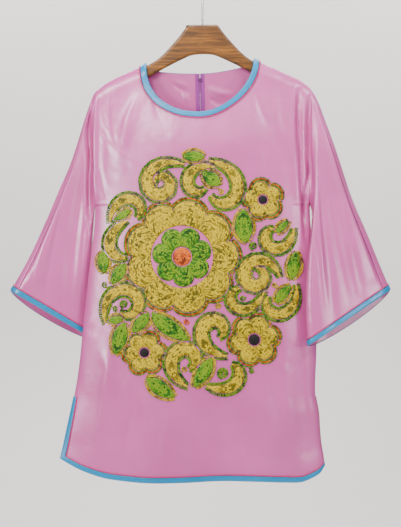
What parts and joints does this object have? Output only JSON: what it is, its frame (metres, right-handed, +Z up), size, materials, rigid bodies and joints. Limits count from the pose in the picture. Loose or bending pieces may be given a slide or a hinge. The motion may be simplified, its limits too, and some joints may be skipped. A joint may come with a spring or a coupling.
{
  "type": "embroidered formal top on a hanger",
  "caption": "Round-necked satin tunic with kimono sleeves, side slits, bound edges, a back zip and a raised embroidered roundel, hung flat on a wooden hanger with a wire hook.",
  "frame": {"origin": "seat of the hanger's hook, where the rail that holds it touches the wire's inside", "axes": "+Z up, the garment's front faces -Y, +X is to the right of someone who looks at its front"},
  "size_m": [0.7127, 0.0973, 0.9548],
  "materials": {
    "pink_satin": "pink polyester satin, smooth and glossy",
    "blue_satin": "bright blue satin bias binding",
    "magenta_cord": "thin magenta corded piping",
    "zip_tape": "woven zip tape and coil, magenta",
    "zip_metal": "enamelled zinc, magenta",
    "gold_thread": "thick yellow-gold embroidery thread",
    "green_thread": "thick green and olive embroidery thread",
    "rust_thread": "thick orange-brown embroidery thread",
    "dark_thread": "thick black embroidery thread",
    "hanger_wood": "amber lacquered wood",
    "steel": "plated steel wire"
  },
  "bodies": {
    "garment": {"back_left": "pink_satin", "back_right": "pink_satin", "blossom_eye": "rust_thread", "blossom_inner": "green_thread", "blossom_outer": "gold_thread", "cuff_binding_left": "blue_satin", "cuff_binding_right": "blue_satin", "cuff_piping_left": "magenta_cord", "cuff_piping_right": "magenta_cord", "front": "pink_satin", "hanger": "hanger_wood", "hem_binding_back": "blue_satin", "hem_binding_front": "blue_satin", "hem_piping_back": "magenta_cord", "hem_piping_front": "magenta_cord", "hook": "steel", "leaf_0": "green_thread", "leaf_1": "green_thread", "leaf_10": "green_thread", "leaf_11": "green_thread", "leaf_12": "green_thread", "leaf_13": "green_thread", "leaf_14": "green_thread", "leaf_2": "green_thread", "leaf_3": "green_thread", "leaf_4": "green_thread", "leaf_5": "green_thread", "leaf_6": "green_thread", "leaf_7": "green_thread", "leaf_8": "green_thread", "leaf_9": "green_thread", "neck_binding": "blue_satin", "neck_piping": "magenta_cord", "scroll_0": "gold_thread", "scroll_1": "gold_thread", "scroll_10": "gold_thread", "scroll_11": "gold_thread", "scroll_12": "gold_thread", "scroll_2": "gold_thread", "scroll_3": "gold_thread", "scroll_4": "gold_thread", "scroll_5": "gold_thread", "scroll_6": "gold_thread", "scroll_7": "gold_thread", "scroll_8": "gold_thread", "scroll_9": "gold_thread", "small_eye_0": "dark_thread", "small_eye_1": "dark_thread", "small_eye_2": "dark_thread", "small_petals_0": "gold_thread", "small_petals_1": "gold_thread", "small_petals_2": "gold_thread", "zip_chain": "zip_tape", "zip_slider": "zip_metal", "zip_tape_left": "zip_tape", "zip_tape_right": "zip_tape"},
    "zip_pull": {"zip_pull": "zip_metal"}
  },
  "joints": [
    {"name": "zip_pull_hinge", "type": "hinge", "parent": "garment", "child": "zip_pull", "pos_m": [-0.00475, 0.0191, -0.19869], "axis": [1, 0, 0], "range_deg": [0, 150]}
  ]
}
